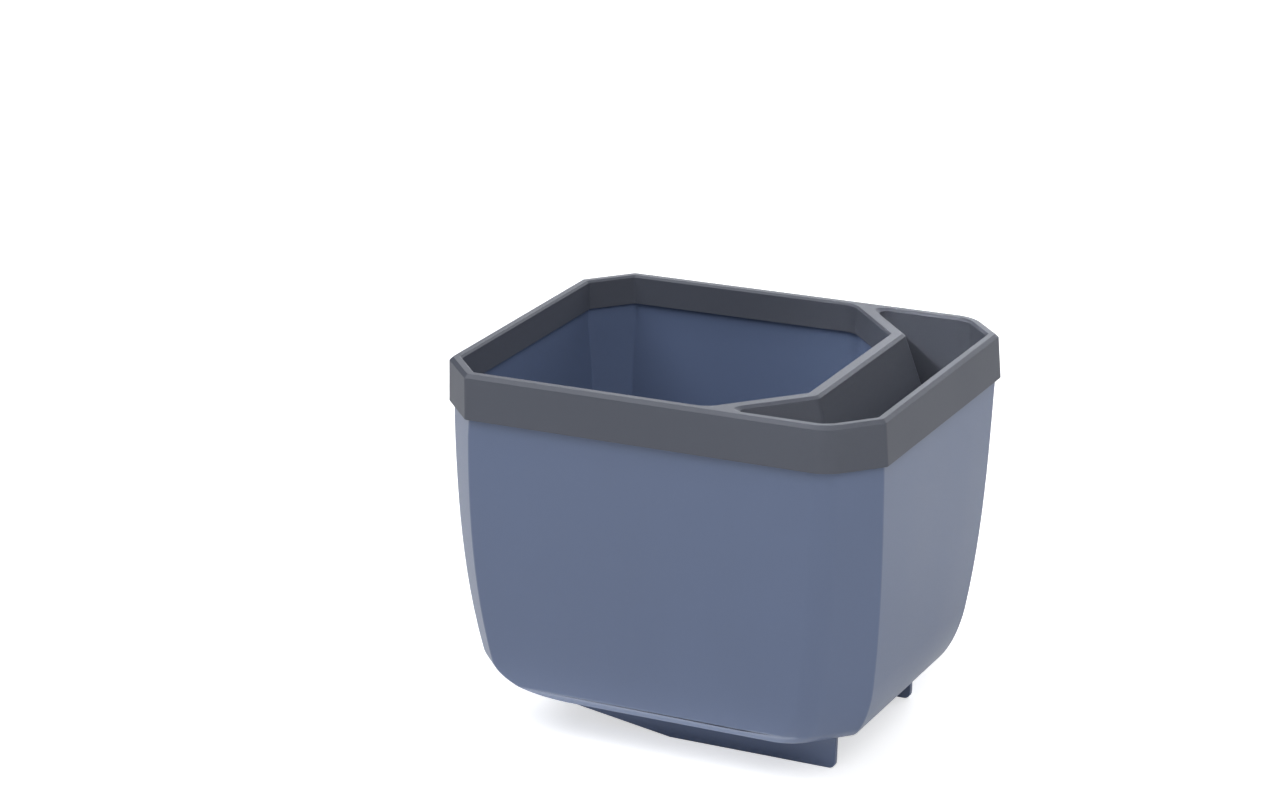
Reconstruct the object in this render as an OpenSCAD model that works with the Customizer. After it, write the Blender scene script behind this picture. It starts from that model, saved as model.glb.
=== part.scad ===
/* [Rim] */
// Length of the collar's top outline
rim_len = 185; // [170:1:210]
// Width of the collar's top outline
rim_wid = 140; // [128:1:160]
// Leg of the four cut corners of the top outline
corner_leg = 16.5; // [14:0.5:20]
// Radius that softens the corners between the long sides and the tank end
soft_r = 14; // [8:1:18]
// Radius of the other corners
crisp_r = 1.5; // [0.8:0.1:2]

/* [Collar] */
// Height of the outer skirt, measured from the top
skirt_h = 17.5; // [14:0.5:24]
// Thickness of the outer skirt at the top
skirt_t = 1; // [1:0.1:2]
// How far the skirt spreads towards its lower edge
skirt_flare = 0.7; // [0.2:0.1:1.5]
// Thickness of the cap that lies on the pot's lip
cap_t = 2; // [1.6:0.1:3]
// Depth of the lining that hangs into the plant opening, measured from the top
lining_h = 12; // [8:0.5:20]
// Thickness of the lining and of the tank's outer walls
lining_t = 1.3; // [1:0.1:2]
// Radius of the rounded top edges
edge_r = 1; // [0.6:0.1:1.4]

/* [Plant opening] */
// Length of the plant opening
open_len = 141; // [132:1:150]
// Leg of the two cut corners beside the tank
open_leg = 28; // [22:1:32]

/* [Tank] */
// Depth of the sloping mouth, measured from the top
mouth_depth = 30; // [20:1:40]
// Slope of the mouth's back wall, away from upright
mouth_draft = 15.5; // [8:0.5:17]
// Slope of the back wall below the mouth
well_draft = 2; // [1:0.5:3]
// Depth of the tank, measured from the top
tank_depth = 110; // [90:1:114]
// Thickness of the tank's back wall
tank_back_t = 2; // [1.4:0.1:2.6]
// Thickness of the tank's floor
tank_floor_t = 1.8; // [1.4:0.1:3]
// Radius in the two pointed ends of the tank
tip_r = 2.5; // [1.5:0.5:3]

/* [Pot] */
// Height of the pot from its underside to its lip
pot_h = 135.5; // [130:0.5:150]
// Thickness of the pot's walls and of its partition
wall = 2; // [1.6:0.1:2.6]
// Thickness of the pot's floor
floor_t = 2.4; // [2:0.1:3.5]
// Straight lean of the tank end over the visible height
tank_end_lean = 6.5; // [4:0.5:9]
// Extra lean of the tank end that gathers near the floor
tank_end_bulge = 8; // [5:0.5:10]
// Straight lean of the plant end
plant_end_lean = 0.4; // [0:0.1:4]
// Extra lean of the plant end that gathers near the floor
plant_end_bulge = 10; // [6:0.5:12]
// Straight lean of each long side
side_lean = 5; // [3:0.1:7]
// Extra lean of each long side that gathers near the floor
side_bulge = 5; // [3:0.5:7]
// Leg of the cut corners at the floor, tank end
low_leg_tank = 18; // [15:0.5:20]
// Leg of the cut corners at the floor, plant end
low_leg_plant = 9; // [7:0.5:16]
// How soon the cut corners take the size of their leg at the floor
leg_bend = 0.7; // [0.5:0.05:1]
// Length of the curve from the floor to the tank end
tank_run = 8.6; // [6:0.2:12]
// Height of the curve from the floor to the tank end
tank_rise = 25; // [18:1:30]
// Length of the curve from the floor to the plant end
plant_run = 36; // [26:1:40]
// Height of the curve from the floor to the plant end
plant_rise = 15.5; // [12:0.5:22]
// Radius between the floor and the long sides
side_round = 5.4; // [4:0.2:8]

/* [Runners] */
// Height of the runners under the pot
runner_h = 15.5; // [12:0.5:20]
// Thickness of a runner
runner_t = 2.4; // [2:0.1:4]
// Distance across the outer faces of the two runners
runner_span = 74; // [60:1:84]
// Front end of the level foot, from the middle of the rim
foot_front = 62; // [56:0.5:66]
// Knee where the level foot turns into the slanting one
knee_x = -9.5; // [-14:0.5:-4]
// Slope of the slanting foot, in degrees
lean_angle = 8.8; // [5:0.1:10]
// Back end of the slanting foot
foot_back = -64; // [-70:0.5:-56]
// Radius at the runner's two lower ends
runner_r = 2.5; // [1.5:0.1:4]
// How far the runner's front end leans forward on its way up
front_lean = 1; // [0:0.1:2]

/* [Felt] */
// Thickness of the mat under the plant
mat_t = 3; // [2:0.1:4]
// Width of the wick
wick_w = 20; // [12:1:26]
// Thickness of the wick
wick_t = 3; // [2:0.1:3.4]
// How far the wick stands up in the tank
wick_rise = 16; // [8:1:30]
// How far the wick reaches in under the plant
wick_reach = 26; // [16:1:40]

/* [Fits] */
// Gap on each side of the pot's lip inside the collar
seat_gap = 0.2; // [0.2:0.05:0.4]
// Gap round the felt pieces
soft_gap = 0.3; // [0.3:0.05:0.6]

/* [Hidden] */
pot_colour = "#66738f";
collar_colour = "#54575f";
mat_colour = "#b9b4a4";
wick_colour = "#e4e0d4";

arc_steps = 5;
edge_steps = 3;
wall_steps = 7;
curve_steps = 12;
runner_facets = 32;
over = 1;
leg_shrink = 2 - sqrt(2);

pot_z = runner_h;
lip_z = pot_z + pot_h;
top_z = lip_z + cap_t;
skirt_z = top_z - skirt_h;
lining_z = top_z - lining_h;
mouth_z = top_z - mouth_depth;
tank_z = top_z - tank_depth;
tank_under_z = tank_z - tank_floor_t;
floor_z = pot_z + floor_t;

lip_inset = skirt_t + seat_gap;
liner_inset = lip_inset + wall + seat_gap;
rim_w = liner_inset + lining_t;
open_back = -rim_len / 2 + rim_w;
open_front = open_back + open_len;
open_half = rim_wid / 2 - rim_w;
open_sum = open_front + open_half - open_leg;
parting_off = lining_t + seat_gap;
tank_back_off = parting_off + wall + seat_gap;

// Unit vector along v
function unit(v) = v / norm(v);

// Points of the arc of radius r that rounds corner b between a and c
function corner_arc(a, b, c, r) =
    let (
        u = unit(a - b),
        v = unit(c - b),
        half = acos(u * v) / 2,
        centre = b + unit(u + v) * r / sin(half),
        from = b + u * r / tan(half) - centre,
        to = b + v * r / tan(half) - centre,
        turn = 180 - 2 * half
    )
    [for (k = [0 : arc_steps])
        let (t = turn * k / arc_steps)
        centre + (from * sin(turn - t) + to * sin(t)) / sin(turn)];

// Outline through the corners p, each rounded with its radius in r
function rounded(p, r) =
    let (n = len(p))
    [for (i = [0 : n - 1]) each corner_arc(p[(i + n - 1) % n], p[i], p[(i + 1) % n], r[i])];

// Outline lifted to height z
function at_z(outline, z) = [for (q = outline) [q[0], q[1], z]];

// Eight corners of a long plan with cut corners, anticlockwise from the near plant end
function cut_plan(x0, x1, y, leg0, leg1) = [
    [x0 + leg0, -y], [x1 - leg1, -y], [x1, leg1 - y], [x1, y - leg1],
    [x1 - leg1, y], [x0 + leg0, y], [x0, y - leg0], [x0, leg0 - y]
];

// Corner radii of such a plan, drawn in by d
function plan_radii(d) =
    let (s = soft_r - d)
    [crisp_r, s, crisp_r, crisp_r, s, crisp_r, crisp_r, crisp_r];

// The collar's outline, drawn in by d
function rim_outline(d) =
    let (leg = corner_leg - leg_shrink * d)
    rounded(cut_plan(d - rim_len / 2, rim_len / 2 - d, rim_wid / 2 - d, leg, leg), plan_radii(d));

// The plant opening's outline, spread by d
function open_outline(d) =
    rounded(cut_plan(open_back - d, open_front + d, open_half + d,
        corner_leg - leg_shrink * (rim_w - d), open_leg + leg_shrink * d), plan_radii(rim_w - d));

// Share of the visible wall height that lies above z
function down(z) = min(1, max(0, (skirt_z - z) / (skirt_z - pot_z)));

// How far a wall has leant in at z
function lean(z, straight, bulge) = straight * down(z) + bulge * pow(down(z), 3);

// How far a curve of length run and height rise has drawn in at height h above its foot
function curve_in(h, run, rise) = h >= rise ? 0 : run * (1 - sqrt(max(0, 1 - pow(1 - max(0, h) / rise, 2))));

// Half sizes and legs of the pot's shell at z, drawn in by d, over a floor at foot
function shell_x0(z, d, foot) = lip_inset + d - rim_len / 2 + lean(z, plant_end_lean, plant_end_bulge)
    + curve_in(z - foot, plant_run - d, plant_rise - foot + pot_z);
function shell_x1(z, d, foot) = rim_len / 2 - lip_inset - d - lean(z, tank_end_lean, tank_end_bulge)
    - curve_in(z - foot, tank_run - d, tank_rise - foot + pot_z);
function shell_y(z, d, foot) = rim_wid / 2 - lip_inset - d - lean(z, side_lean, side_bulge)
    - curve_in(z - foot, side_round - d, side_round - foot + pot_z);
function shell_leg(z, d, low_leg) =
    let (share = pow(down(z), leg_bend))
    (1 - share) * (corner_leg - leg_shrink * lip_inset) + share * low_leg - leg_shrink * d;

// The shell's outline at z
function shell_outline(z, d, foot) =
    at_z(rounded(cut_plan(shell_x0(z, d, foot), shell_x1(z, d, foot), shell_y(z, d, foot),
        shell_leg(z, d, low_leg_plant), shell_leg(z, d, low_leg_tank)), plan_radii(lip_inset + d)), z);

// Heights of the shell's outlines, from its foot to top
function shell_heights(foot, top) =
    let (knee = foot + tank_rise)
    concat(
        [for (k = [curve_steps : -1 : 1]) foot + tank_rise * (1 - sin(90 * k / curve_steps))],
        [for (k = [0 : wall_steps - 1]) knee + (skirt_z - knee) * k / wall_steps],
        [skirt_z, top]);

// How far the tank's back wall stands off from its place at the top
function back_off(z) =
    (top_z - max(z, mouth_z)) * tan(mouth_draft) + max(0, mouth_z - z) * tan(well_draft);

// The tank's outline at z, with its walls drawn in by d at the sides and by b at the back
function tank_outline(z, d, b) =
    let (
        foot = floor_z + seat_gap,
        x1 = shell_x1(z, wall + seat_gap + d, foot),
        y = shell_y(z, wall + seat_gap + d, foot),
        leg = shell_leg(z, wall + seat_gap + d, low_leg_tank),
        off = tank_back_off + b + back_off(z),
        x0 = open_front + off,
        sum = open_sum + off * sqrt(2),
        tip = tip_r + lining_t - d,
        soft = soft_r - liner_inset - d
    )
    at_z(rounded(
        [[sum - y, -y], [x1 - leg, -y], [x1, leg - y], [x1, y - leg],
            [x1 - leg, y], [sum - y, y], [x0, sum - x0], [x0, x0 - sum]],
        [tip, soft, crisp_r, crisp_r, soft, tip, crisp_r, crisp_r]), z);

// The C-shaped outline's points in three pieces without hollows: near arm, middle and far arm
tank_ends =
    let (c = arc_steps + 1)
    [
        concat([2 * c], [for (i = [7 * c : 8 * c - 1]) i], [for (i = [0 : 2 * c - 1]) i]),
        concat([for (i = [2 * c : 4 * c - 1]) i], [7 * c - 1, 7 * c]),
        [for (i = [4 * c - 1 : 7 * c - 1]) i]
    ];

// Heights of the tank's outlines, from foot to top
function tank_heights(foot, top) = concat(
    [for (k = [0 : wall_steps - 1]) foot + (mouth_z - foot) * k / wall_steps],
    [for (k = [0 : 2]) mouth_z + (skirt_z - mouth_z) * k / 3],
    [skirt_z, top]);

// Backward copy of the list p
function reversed(p) = [for (i = [len(p) - 1 : -1 : 0]) p[i]];

// Solid through outlines stacked from the lowest to the highest, with its two ends closed by the pieces in ends
module loft(rings, ends) {
    n = len(rings[0]);
    m = len(rings);
    pieces = is_undef(ends) ? [[for (i = [0 : n - 1]) i]] : ends;
    low_faces = [for (j = [0 : m - 2], i = [0 : n - 1])
        [j * n + i, (j + 1) * n + i, (j + 1) * n + (i + 1) % n]];
    high_faces = [for (j = [0 : m - 2], i = [0 : n - 1])
        [j * n + i, (j + 1) * n + (i + 1) % n, j * n + (i + 1) % n]];
    top_faces = [for (p = pieces) [for (i = reversed(p)) (m - 1) * n + i]];
    polyhedron([for (r = rings) each r], concat(low_faces, high_faces, pieces, top_faces), convexity = 8);
}

// Plan of everything on the plant's side of the partition, with its face moved by off
module plant_side(off) {
    x = open_front + off;
    sum = open_sum + off * sqrt(2);
    polygon([[-rim_len, -rim_wid], [sum - rim_wid, -rim_wid], [x, x - sum],
        [x, sum - x], [sum - rim_wid, rim_wid], [-rim_len, rim_wid]]);
}

module pot_shell(d, foot, top) {
    loft([for (z = shell_heights(foot, top)) shell_outline(z, d, foot)]);
}

module partition() {
    difference() {
        translate([0, 0, pot_z])
            linear_extrude(height = pot_h + 2 * over)
                difference() {
                    plant_side(parting_off + wall);
                    plant_side(parting_off);
                }
        translate([open_front, -wick_w / 2 - soft_gap, pot_z])
            cube([parting_off + wall + over, wick_w + 2 * soft_gap, floor_t + wick_t + 3 * soft_gap]);
    }
}

// Height of the pot's underside at x, which curves up towards the plant end
function under_z(x) =
    let (past = max(0, shell_x0(pot_z, 0, pot_z) - x))
    pot_z + plant_rise * (1 - sqrt(1 - pow(past / plant_run, 2)));

// Side view of a runner: level foot, slanting foot and a top that follows the pot's underside
module runner_side() {
    rise = (knee_x - foot_back) * tan(lean_angle);
    root_z = pot_z + floor_t / 2;
    hull() {
        translate([foot_front - runner_r, runner_r])
            circle(r = runner_r, $fn = runner_facets);
        polygon([[knee_x, 0], [foot_front - runner_r, 0], [foot_front + front_lean, root_z], [knee_x, root_z]]);
    }
    hull() {
        translate([foot_back + runner_r, rise + runner_r])
            circle(r = runner_r, $fn = runner_facets);
        polygon([[knee_x, 0], [knee_x, root_z], [foot_back, root_z]]);
    }
    polygon(concat(
        [[foot_back, pot_z - over], [knee_x, pot_z - over]],
        [for (k = [0 : curve_steps])
            let (x = knee_x + (foot_back - knee_x) * k / curve_steps)
            [x, under_z(x) + floor_t / 2]]));
}

module runner(side) {
    translate([0, side * (runner_span / 2 - runner_t / 2) + runner_t / 2, 0])
        rotate([90, 0, 0])
            linear_extrude(height = runner_t)
                runner_side();
}

module pot_body() {
    color(pot_colour) {
        difference() {
            pot_shell(0, pot_z, lip_z);
            difference() {
                pot_shell(wall, floor_z, lip_z + over);
                partition();
            }
        }
        for (side = [-1, 1])
            runner(side);
    }
}

// The collar's outer face, spreading downwards and rounded at the top
module collar_outside() {
    loft(concat(
        [at_z(rim_outline(-skirt_flare), skirt_z)],
        [for (k = [0 : edge_steps])
            let (a = 90 * k / edge_steps)
            at_z(rim_outline(edge_r * (1 - cos(a))), top_z - edge_r * (1 - sin(a)))]));
}

// Space of the plant opening, rounded outwards at the top
module plant_opening() {
    loft(concat(
        [at_z(open_outline(0), skirt_z - over)],
        [for (k = [0 : edge_steps])
            let (a = 90 * k / edge_steps)
            at_z(open_outline(edge_r * (1 - cos(a))), top_z - edge_r * (1 - sin(a)))],
        [at_z(open_outline(edge_r), top_z + over)]));
}

module plant_lining() {
    difference() {
        translate([0, 0, lining_z])
            linear_extrude(height = top_z - lining_z - cap_t / 2)
                polygon(open_outline(lining_t));
        plant_opening();
    }
}

module tank_outside() {
    loft([for (z = tank_heights(tank_under_z, lip_z + cap_t / 2)) tank_outline(z, 0, 0)], tank_ends);
}

// Space inside the tank, rounded outwards at the top
module tank_inside() {
    loft(concat(
        [for (z = tank_heights(tank_z, lip_z)) tank_outline(z, lining_t, tank_back_t)],
        [for (k = [0 : edge_steps])
            let (a = 90 * k / edge_steps, s = edge_r * (1 - cos(a)))
            tank_outline(top_z - edge_r * (1 - sin(a)), lining_t - s, tank_back_t - s)],
        [tank_outline(top_z + over, lining_t - edge_r, tank_back_t - edge_r)]), tank_ends);
}

module skirt() {
    difference() {
        collar_outside();
        translate([0, 0, skirt_z - over])
            linear_extrude(height = lip_z - skirt_z + over)
                polygon(rim_outline(skirt_t));
    }
}

module collar_tank() {
    color(collar_colour)
        difference() {
            union() {
                skirt();
                plant_lining();
                tank_outside();
            }
            plant_opening();
            tank_inside();
            translate([wick_x() - wick_t / 2 - soft_gap, -wick_w / 2 - soft_gap, tank_under_z - over])
                cube([wick_t + 2 * soft_gap, wick_w + 2 * soft_gap, tank_floor_t + 2 * over]);
        }
}

// Middle of the wick's upright part: just clear of the tank's back wall
function wick_x() = open_front + tank_back_off + tank_back_t + back_off(tank_z) + 3 * soft_gap + wick_t / 2;

// Side view of the wick: up through the tank's floor, down a slope and in under the plant
module wick_side() {
    x = wick_x();
    low = floor_z + soft_gap;
    bend = low + 3 * wick_t;
    slope_x = open_front + parting_off + wall + wick_t;
    half = wick_t / 2;
    polygon([[x - half, tank_z + wick_rise], [x - half, bend], [slope_x, low + wick_t],
        [open_front - wick_reach, low + wick_t], [open_front - wick_reach, low],
        [slope_x + half, low], [x + half, bend - half], [x + half, tank_z + wick_rise]]);
}

module wick() {
    color(wick_colour)
        translate([0, wick_w / 2, 0])
            rotate([90, 0, 0])
                linear_extrude(height = wick_w)
                    wick_side();
}

module felt_mat() {
    z = floor_z + soft_gap;
    x0 = shell_x0(z, wall, floor_z) + soft_gap;
    y = shell_y(z, wall, floor_z) - soft_gap;
    x1 = open_front - soft_gap;
    leg = x1 + y - (open_sum - soft_gap * sqrt(2));
    color(mat_colour)
        translate([0, 0, z])
            difference() {
                linear_extrude(height = mat_t)
                    polygon(cut_plan(x0, x1, y, low_leg_plant, leg));
                translate([open_front - wick_reach - soft_gap, -wick_w / 2 - soft_gap, -over])
                    cube([wick_reach + 2 * over, wick_w + 2 * soft_gap, mat_t + 2 * over]);
            }
}

pot_body();
collar_tank();
felt_mat();
wick();
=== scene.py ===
"""Indoor herb planter: the look of each piece, the stage and the camera."""

import math

import bmesh
import bpy
from bpy.props import FloatProperty, FloatVectorProperty, PointerProperty
from bpy.types import Operator, Panel, PropertyGroup
from mathutils import Euler, Matrix, Vector
from mathutils.kdtree import KDTree


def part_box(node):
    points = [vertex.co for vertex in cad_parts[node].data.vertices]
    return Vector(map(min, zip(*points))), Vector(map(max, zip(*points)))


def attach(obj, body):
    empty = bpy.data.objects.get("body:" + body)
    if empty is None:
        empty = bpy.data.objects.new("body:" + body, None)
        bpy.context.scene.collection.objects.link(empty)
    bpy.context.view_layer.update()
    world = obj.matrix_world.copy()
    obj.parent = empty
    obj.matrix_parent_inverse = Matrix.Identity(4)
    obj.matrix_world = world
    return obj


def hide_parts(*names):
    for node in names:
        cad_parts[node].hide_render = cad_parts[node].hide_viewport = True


bl_info = {
    "name": "Indoor Herb Planter",
    "version": (1, 0, 0),
    "blender": (4, 5, 0),
    "location": "View3D > Sidebar > Herb Planter",
    "description": "Builds a herb planter: pot on runners, collar with its water tank, felt mat and wick",
    "category": "Add Mesh",
}

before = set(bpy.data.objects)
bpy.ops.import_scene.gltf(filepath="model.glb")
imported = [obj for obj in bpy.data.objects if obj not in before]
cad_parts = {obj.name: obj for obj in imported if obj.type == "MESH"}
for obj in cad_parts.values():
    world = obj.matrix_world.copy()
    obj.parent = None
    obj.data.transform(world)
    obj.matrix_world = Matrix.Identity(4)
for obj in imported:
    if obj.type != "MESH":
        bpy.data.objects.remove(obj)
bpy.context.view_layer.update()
COLLAR_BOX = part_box("collar_tank")
POT_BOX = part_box("pot_body")

# How much shorter the leg of a 45-degree corner gets when its outline moves in by one.
LEG_SHRINK = 2 - math.sqrt(2)
DIAGONAL = math.sqrt(2)
SHARP_ANGLE = math.radians(28)

# Lengths in metres: points nearer than NEAR are one place, a cutter reaches CLEAR past the face that it
# opens, and pieces that are fused overlap by OVERLAP.
NEAR = 0.00001
CLEAR = 0.002
OVERLAP = 0.001

# Corners of the plans that cut_plan and Form.c_plan give. The soft ones lie between the long sides and the
# tank end's cut corners.
PLAN_CORNERS = 8
SOFT_CORNERS = (1, 4)
CRISP_CORNERS = (0, 2, 3, 5, 6, 7)
C_END_CORNERS = (2, 3)
C_BACK_CORNERS = (6, 7)
C_TIPS = (0, 5)
TIP_TURN = 135

# Facets of the round corners and edges.
EDGE_FACETS = 3
CRISP_FACETS = 5
CREASE_FACETS = 8
TIP_FACETS = 10
INNER_SOFT_FACETS = 12
OUTER_SOFT_FACETS = 14


def length(name, description, default):
    return FloatProperty(
        name=name, description=description, default=default, min=-1, max=1, precision=4, unit="LENGTH")


def angle(name, description, degrees):
    return FloatProperty(
        name=name, description=description, default=math.radians(degrees), min=0, max=1, subtype="ANGLE")


def colour(name, description, default):
    return FloatVectorProperty(
        name=name, description=description, default=default, size=3, min=0, max=1, subtype="COLOR")


SKIRT_FLARE = 0.0007
RIM_SIZE = COLLAR_BOX[1] - COLLAR_BOX[0] - 2 * Vector((SKIRT_FLARE, SKIRT_FLARE, 0))


class PlanterShape(PropertyGroup):
    """Sizes of the planter"""

    skirt_flare: length("Skirt flare", "How far the skirt spreads towards its lower edge", SKIRT_FLARE)
    rim_length: length("Rim length", "Length of the collar's top outline", RIM_SIZE.x)
    rim_width: length("Rim width", "Width of the collar's top outline", RIM_SIZE.y)
    top_z: length("Top", "Height of the rim above the feet", COLLAR_BOX[1].z)
    lip_z: length("Lip", "Height of the pot's lip above the feet", POT_BOX[1].z)
    corner_leg: length("Corner leg", "Leg of the cut corners of the rim", 0.0165)
    soft_radius: length("Soft radius", "Radius between the long sides and the tank end's corners", 0.014)
    crisp_radius: length("Crisp radius", "Radius of the other corners", 0.0015)
    crease_radius: length("Crease radius", "Radius of the creases in the tank's back wall", 0.003)
    skirt_height: length("Skirt height", "Height of the outer skirt", 0.0182)
    skirt_wall: length("Skirt wall", "Thickness of the outer skirt", 0.001)
    lining_depth: length("Lining depth", "Depth of the lining in the plant opening", 0.012)
    lining_wall: length("Lining wall", "Thickness of the lining and the tank's outer walls", 0.0013)
    rim_chamfer: length("Rim chamfer", "Width of the chamfer round the outside of the rim", 0.0014)
    opening_chamfer: length("Opening chamfer", "Width of the chamfer round the plant opening", 0.0008)
    mouth_chamfer: length("Mouth chamfer", "Width of the chamfer round the tank's mouth", 0.001)
    opening_length: length("Opening length", "Length of the plant opening", 0.141)
    opening_leg: length("Opening leg", "Leg of the opening's cut corners beside the tank", 0.028)
    mouth_depth: length("Mouth depth", "Depth of the tank's sloping mouth", 0.03)
    mouth_slope: angle("Mouth slope", "Slope of the mouth's back wall", 15.5)
    well_slope: angle("Well slope", "Slope of the back wall below the mouth", 2)
    tank_depth: length("Tank depth", "Depth of the tank below the rim", 0.11)
    tank_back: length("Tank back", "Thickness of the tank's back wall", 0.002)
    tank_floor: length("Tank floor", "Thickness of the tank's floor", 0.0018)
    tip_radius: length("Tip radius", "Radius in the tank's pointed ends", 0.0025)
    pot_z: length("Pot underside", "Height of the pot's underside above the feet", 0.0155)
    pot_wall: length("Pot wall", "Thickness of the pot's walls and partition", 0.002)
    pot_floor: length("Pot floor", "Thickness of the pot's floor", 0.0024)
    tank_end_lean: length("Tank end lean", "Straight lean of the tank end", 0.0065)
    tank_end_bulge: length("Tank end bulge", "Lean of the tank end that gathers near the floor", 0.008)
    plant_end_lean: length("Plant end lean", "Straight lean of the plant end", 0.0004)
    plant_end_bulge: length("Plant end bulge", "Lean of the plant end that gathers near the floor", 0.01)
    side_lean: length("Side lean", "Straight lean of each long side", 0.005)
    side_bulge: length("Side bulge", "Lean of the long sides that gathers near the floor", 0.005)
    low_leg_tank: length("Low leg, tank end", "Leg of the cut corners at the floor, tank end", 0.018)
    low_leg_plant: length("Low leg, plant end", "Leg of the cut corners at the floor, plant end", 0.009)
    leg_bend: FloatProperty(
        name="Leg bend", description="How soon the corners take their leg at the floor", default=0.7)
    tank_run: length("Tank end run", "Length of the curve from the floor to the tank end", 0.0086)
    tank_rise: length("Tank end rise", "Height of the curve from the floor to the tank end", 0.025)
    plant_run: length("Plant end run", "Length of the curve from the floor to the plant end", 0.036)
    plant_rise: length("Plant end rise", "Height of the curve from the floor to the plant end", 0.0155)
    side_round: length("Side round", "Radius between the floor and the long sides", 0.0054)
    crease_tilt: angle("Crease tilt", "Tilt of the round where it leaves the long sides", 44)
    runner_wall: length("Runner thickness", "Thickness of a runner", 0.0024)
    runner_span: length("Runner span", "Distance across the two runners", 0.074)
    foot_front: length("Foot front", "Front end of the level foot", 0.062)
    knee: length("Knee", "Where the level foot turns into the slanting one", -0.0095)
    slant: angle("Slant", "Slope of the slanting foot", 8.8)
    foot_back: length("Foot back", "Back end of the slanting foot", -0.064)
    runner_radius: length("Runner radius", "Radius at the runner's lower ends", 0.0025)
    front_lean: length("Front lean", "Lean of the runner's front end", 0.001)
    mat_thickness: length("Mat thickness", "Thickness of the felt mat", 0.003)
    wick_width: length("Wick width", "Width of the wick", 0.02)
    wick_thickness: length("Wick thickness", "Thickness of the wick", 0.003)
    wick_rise: length("Wick rise", "How far the wick stands up in the tank", 0.016)
    wick_reach: length("Wick reach", "How far the wick reaches in under the plant", 0.026)
    seat_gap: length("Seat gap", "Gap between the pot's lip and the collar", 0.0002)
    soft_gap: length("Soft gap", "Gap round the felt pieces", 0.0003)


class PlanterFinish(PropertyGroup):
    """Colours of the planter and its stage"""

    pot: colour("Pot", "Colour of the pot's plastic", (0.122, 0.162, 0.269))
    collar: colour("Collar", "Colour of the collar's plastic", (0.09, 0.098, 0.122))
    mat: colour("Mat", "Colour of the felt mat", (0.46, 0.43, 0.36))
    wick: colour("Wick", "Colour of the wick's felt", (0.74, 0.72, 0.65))
    floor: colour("Floor", "Colour of the floor", (0.8, 0.8, 0.8))


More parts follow.
